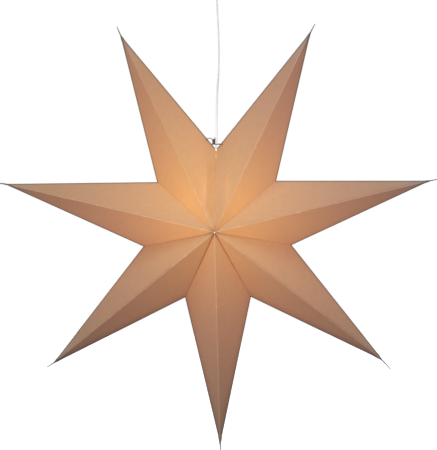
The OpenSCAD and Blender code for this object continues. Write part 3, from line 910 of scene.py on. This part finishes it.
def band_rings(i, outer, inner):
    """Two rings that lie deeper in the joint planes: the band's glued face and its free face. The
    depth is nothing at the band's ends and at the open seam."""
    side = np.where(outer[:, 2] >= 0, 1.0, -1.0)
    depth = np.where(outer[:, 1] <= 0, -1.0, 1.0)
    none = 0 * side
    edge = np.hypot(CORNER, DEPTH)
    along = np.hypot(outer[:, 0], outer[:, 2]) / CORNER * edge
    wide = np.clip(np.minimum(along - BAND_RELIEF, edge - BAND_RELIEF - along), 0, BAND)
    wide = np.where(np.where(side > 0, is_seam(i, 1), is_seam(i, -1)), 0, wide)[:, None]
    out_of_star = np.stack([none + cos(HALF), none, side * sin(HALF)], 1)
    edge_line = (out_of_star * CORNER - np.stack([none, depth * DEPTH, none], 1)) / edge
    inward = -np.stack([none, depth, none], 1)
    inward = inward - edge_line * (inward * edge_line).sum(1)[:, None]
    inward /= np.linalg.norm(inward, axis=1)[:, None]
    normal = np.stack([none + sin(HALF), none, -side * cos(HALF)], 1)
    glued = outer + inward * wide
    return glued, np.where(wide > 0, glued + normal * PAPER, inner)


def pinched_rings(i, ring):
    """Rings that go on from the last one. Over s from 0 to 1, x runs to the end, z shrinks in a
    smooth step to a strip, y runs out as (1 - s) ** 0.85, and the strip bends as s squared."""
    tip_x = FOLD_REACH + OUT_BY[i] + WHISKERS[i]
    middle_z = SIDE_BY[i]
    s = np.linspace(0, 1, PINCH_RINGS)[1:, None]
    half_wide = np.abs(ring[:, 2] - middle_z).max()
    squeeze = np.clip(s / PINCHED_BY, 0, 1)
    squeeze = squeeze ** 2 * (3 - 2 * squeeze)
    thin = 1 - squeeze * (1 - END_HALF_WIDTH / half_wide * (1 - END_TAPER * s))
    x = ring[None, :, 0] * (1 - s) + tip_x * s
    y = ring[None, :, 1] * (0.01 + 0.99 * (1 - s) ** 0.85)
    z = middle_z + (ring[None, :, 2] - middle_z) * thin + BENDS[i] * s ** 2
    y = y + END_WAVE * np.sin(2.5 * pi * s) * s
    return np.stack([x, y, z], -1)


def folded_point(i, seed):
    """Point i as one closed sheet: from the end of its inner face back to the base, round the
    bands, and over the outer face to the pinched end. slots tells the inner faces by a 1."""
    swell = np.random.default_rng(seed).uniform(*SWELL, 4)
    outer, inner = sheet_ring(i, 0, swell), sheet_ring(i, 1, swell)
    glued, free = band_rings(i, outer[0], inner[0])
    pinch = pinched_rings(i, outer[-1])
    rings = np.concatenate([inner[::-1], free[None], glued[None], outer, pinch])
    count = rings.shape[1]
    points = np.concatenate([rings.reshape(-1, 3),
                             [[FOLD_REACH + OUT_BY[i] - PINCHES[i] / 2, 0, SIDE_BY[i]]],
                             [pinch[-1].mean(0) + [0.3 * MM, 0, 0]]])
    total = len(rings) * count
    faces = [ring_faces(len(rings), count), fan(np.arange(count), total),
             fan(np.arange(count) + total - count, total + 1)]
    slots = np.repeat([1, 0, 1, 0], [len(inner) * count, (len(rings) - 1 - len(inner)) * count,
                                     count, count])
    return points, faces, slots


# %% Seam, holes and the numbers on the sheet
# Front panels that differ a little from the rest: point, side and lightness
TONES = [(0, -1, 1.03), (1, 1, 0.95), (2, -1, 0.96), (2, 1, 0.75), (3, -1, 0.97), (3, 1, 0.94),
         (4, -1, 0.88), (4, 1, 1.05), (5, -1, 0.92), (6, -1, 0.96), (6, 1, 0.91)]

# How strong the painted highlight on each point's front ridge is, and how dark the painted shade
# in the joint after each point shows
RIDGE_HIGHLIGHTS = [0.45, 1.1, 1.5, 1.4, 0.5, 1.0, 0.5]
JOINT_LINES = [0.12, 0.35, 1.0, 0.9, 0.4, 0.15, 0.0]

# Half of the seam's gap in millimetres: slow rises (by how much, from where up the seam, over how
# much of it) and small openings (how wide, where, how far along)
SEAM_RISES = [(0.012, 110, 20), (0.04, 150, 15)]
SEAM_OPENINGS = [(0.65, 181, 4), (0.42, 166, 3)]
FAR_FROM_SEAM = 999.0


def draw_seam_together(points):
    """Moves the open edges of the two upper points, which stand apart by the CAD model's straight
    gap, to the gap of the real seam: nearly shut, with two small openings near its top corner."""
    x, y, z = points.T / MM
    reach, top = np.hypot(x, z), SEAM_CORNER / MM
    at_edge = (np.abs(x) < 0.55 * SEAM_GAP / MM * reach / top + 0.02) & (z > 5) & (reach < top + 2)
    half_gap = (sum(by * np.clip((reach - start) / over, 0, 1) for by, start, over in SEAM_RISES)
                + sum(by * np.exp(-((reach - up) / far) ** 2) for by, up, far in SEAM_OPENINGS))
    points[:, 0] = np.where(at_edge, np.sign(x) * half_gap * MM, points[:, 0])
    return points


def arm_hole(i, side, up, inward):
    """The tie hole of point i, in the star's frame: up along its side fold, and inward from it."""
    tip = np.array([FOLD_REACH + OUT_BY[i], 0, SIDE_BY[i]])
    corner = SEAM_CORNER * np.array([cos(HALF), 0, side * sin(HALF)])
    along = (tip - corner) / np.linalg.norm(tip - corner)
    across = np.array([-along[2], 0, along[0]]) * -side
    return to_star((corner + along * up + across * inward)[None], i)[0]


def drill(piece, start, end, radius):
    """Cuts a round hole from start to end."""
    a = circle(24)
    way = end - start
    side = (1, 0, 0) if abs(way[0]) < np.linalg.norm(way) / 2 else (0, 0, 1)
    bit = tube("drill", hang([start, end]), radius * np.stack([np.cos(a), np.sin(a)], 1), side)
    cut = piece.modifiers.new("hole", "BOOLEAN")
    cut.operation, cut.solver, cut.object = "DIFFERENCE", "EXACT", bit
    graph = bpy.context.evaluated_depsgraph_get()
    whole, piece.data = piece.data, bpy.data.meshes.new_from_object(piece.evaluated_get(graph))
    piece.modifiers.clear()
    bpy.data.meshes.remove(whole)
    bpy.data.objects.remove(bit)


def mark(piece, i):
    """Writes the nine numbers of LAYERS on each point of the mesh. The distances are in
    millimetres, and the joint is the plane between this point of the star and its neighbour."""
    mesh = piece.data
    places = np.zeros(len(mesh.vertices) * 3, np.float32)
    mesh.vertices.foreach_get("co", places)
    x, y, z = from_row(places.reshape(-1, 3).astype(float), i).T / MM
    tip_x, tip_z = (FOLD_REACH + OUT_BY[i]) / MM, SIDE_BY[i] / MM
    joint = x * sin(HALF) - np.abs(z) * cos(HALF)
    by_seam = np.where(z > 0, is_seam(i, 1), is_seam(i, -1))
    tone = np.ones_like(x)
    for point, side, value in TONES:
        if point == i:
            tone[(z * side > 0) & (y < 0)] = value
    numbers = {"ridge": np.abs(z - tip_z * x / tip_x), "joint": np.maximum(joint, 0),
               "side": np.abs(y), "to_end": tip_x + WHISKERS[i] / MM - x,
               "seam": np.where(by_seam, joint, FAR_FROM_SEAM),
               "up_seam": x * cos(HALF) + np.abs(z) * sin(HALF), "tone": tone,
               "wear": np.full_like(x, RIDGE_HIGHLIGHTS[i]),
               "joint_line": np.where(z > 0, JOINT_LINES[i], JOINT_LINES[i - 1])}
    for name, parts in LAYERS.items():
        layer = mesh.attributes.new(name, "FLOAT_VECTOR", "POINT")
        values = np.stack([numbers[part] for part in parts], 1)
        layer.data.foreach_set("vector", values.astype(np.float32).ravel())


# %% Seven points
SEED = 40
TIE_HOLES = {0: arm_hole(0, -1, 30 * MM, 4 * MM), 6: arm_hole(6, 1, 18.5 * MM, 4 * MM)}
TIE_HOLE, CORD_HOLE = 3 * MM, 6 * MM
THROUGH_ARM, THROUGH_TOP = np.array([0, 30 * MM, 0]), np.array([0, 0, 30 * MM])
for i in range(7):
    points, faces, slots = folded_point(i, SEED + i)
    points = to_star(points, i)
    if i in TIE_HOLES:
        points = draw_seam_together(points)
    piece = make_mesh(f"paper_point_{i + 1}", hang(points), faces, slots=slots)
    piece.data.materials.append(paper_outside)
    piece.data.materials.append(paper_inside)
    if i in TIE_HOLES:
        drill(piece, TIE_HOLES[i] - THROUGH_ARM, TIE_HOLES[i] + THROUGH_ARM, TIE_HOLE / 2)
        shoulder = np.array([0, 0, SHOULDER])
        drill(piece, shoulder, shoulder + THROUGH_TOP, CORD_HOLE / 2)
    mark(piece, i)
    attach(piece, "root")
    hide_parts(f"point_{i + 1}")
    print(piece.name, len(piece.data.vertices), "points")

# %% [markdown]
# ## Twist tie
# A thin wire in a flat plastic ribbon goes through a hole in each arm and round the cord, and its
# two ends are twisted together in front. The route is nearly that of the CAD wire, drawn as a
# smooth curve. The ribbon turns its edge to the front in the loop and its face in the twist.

# %% Twist tie
left, right = TIE_HOLES[0] / MM, TIE_HOLES[6] / MM
TIE_Y, TWIST_X, TWIST_R, TWIST_H, TURNS, TWIST_KNOTS = 8, -4.8, 3.0, 10, 1.5, 15
low_z, top_z = right[2], right[2] + TWIST_H


def twist(start):
    """One strand of the twist, from below upward."""
    k = np.linspace(0, 1, TWIST_KNOTS)
    a = radians(start) + 2 * pi * TURNS * k
    return np.stack([TWIST_X + TWIST_R * np.cos(a), -TIE_Y - TWIST_R * np.sin(a),
                     low_z + TWIST_H * k], 1)


loop_x = left[0] + 1.4
loop_r = (TWIST_X - TWIST_R - loop_x) / 2
a = np.radians(np.arange(160, 10, -20))
loop = np.stack([loop_x + loop_r * (1 + np.cos(a)), 0 * a - TIE_Y,
                 left[2] + (top_z - left[2]) * (1 - np.cos(a)) / 2 + 0.62 * loop_r * np.sin(a)], 1)
tie_knots = np.concatenate([
    [[TWIST_X + 3.2, -TIE_Y, top_z + 5.5], [TWIST_X + 2.4, -TIE_Y, top_z + 4],
     [TWIST_X + 2.4, -TIE_Y, top_z + 2]],
    twist(0)[::-1],
    [[TWIST_X + 4, -TIE_Y, low_z - 0.4], [TWIST_X + 9, -TIE_Y, low_z],
     [right[0] - 4, -TIE_Y - 0.3, low_z + 0.4], [right[0] - 1.2, -TIE_Y, low_z],
     [right[0], 1.2 - TIE_Y, low_z], [right[0], 0, low_z], [right[0], TIE_Y - 1.2, low_z],
     [right[0] - 1.2, TIE_Y, low_z], [right[0] - 4, TIE_Y + 0.4, low_z],
     [2, TIE_Y + 1, low_z + 0.2], [left[0] + 8, TIE_Y + 3, low_z + 0.8],
     [left[0] + 3, TIE_Y + 5, low_z + 4], [left[0] + 1.2, TIE_Y + 2, left[2] - 1.5],
     [left[0], TIE_Y - 1.2, left[2]], [left[0], 0, left[2]], [left[0], 1.2 - TIE_Y, left[2]],
     [loop_x - 0.6, -TIE_Y, left[2] + 0.4]],
    loop, twist(180)[::-1]])
STUB, THROUGH_HOLES = 3, slice(21, 35)
wide_way = np.tile([0.0, 1.0, 0.0], (len(tie_knots), 1))
wide_way[THROUGH_HOLES] = 0, 0, 1
for first, start in ((STUB, 0), (len(tie_knots) - TWIST_KNOTS, 180)):
    a = (radians(start) + 2 * pi * TURNS * np.linspace(0, 1, TWIST_KNOTS))[::-1]
    wide_way[first:first + TWIST_KNOTS] = np.stack([-np.sin(a), -np.cos(a), 0 * a], 1)
tie_path = hang(smooth_path(tie_knots * MM, 4))
HALF_RIBBON, FLAT, WIRE, WIRE_REACH = 1.35, 0.35, 0.5, 0.42
a = circle(20)
thick = FLAT + WIRE * np.exp(-(np.cos(a) / WIRE_REACH) ** 2)
ribbon = np.stack([HALF_RIBBON * np.cos(a), thick * np.sin(a)], 1)
tie = tube("tie_wire", tie_path, ribbon * MM, smooth_path(wide_way, 4))
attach(tie, "root")
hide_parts("twist_tie")
tie.data.materials.append(tie_coat)
print("tie wire:", len(tie_path), "rings")

# %% [markdown]
# ## Done
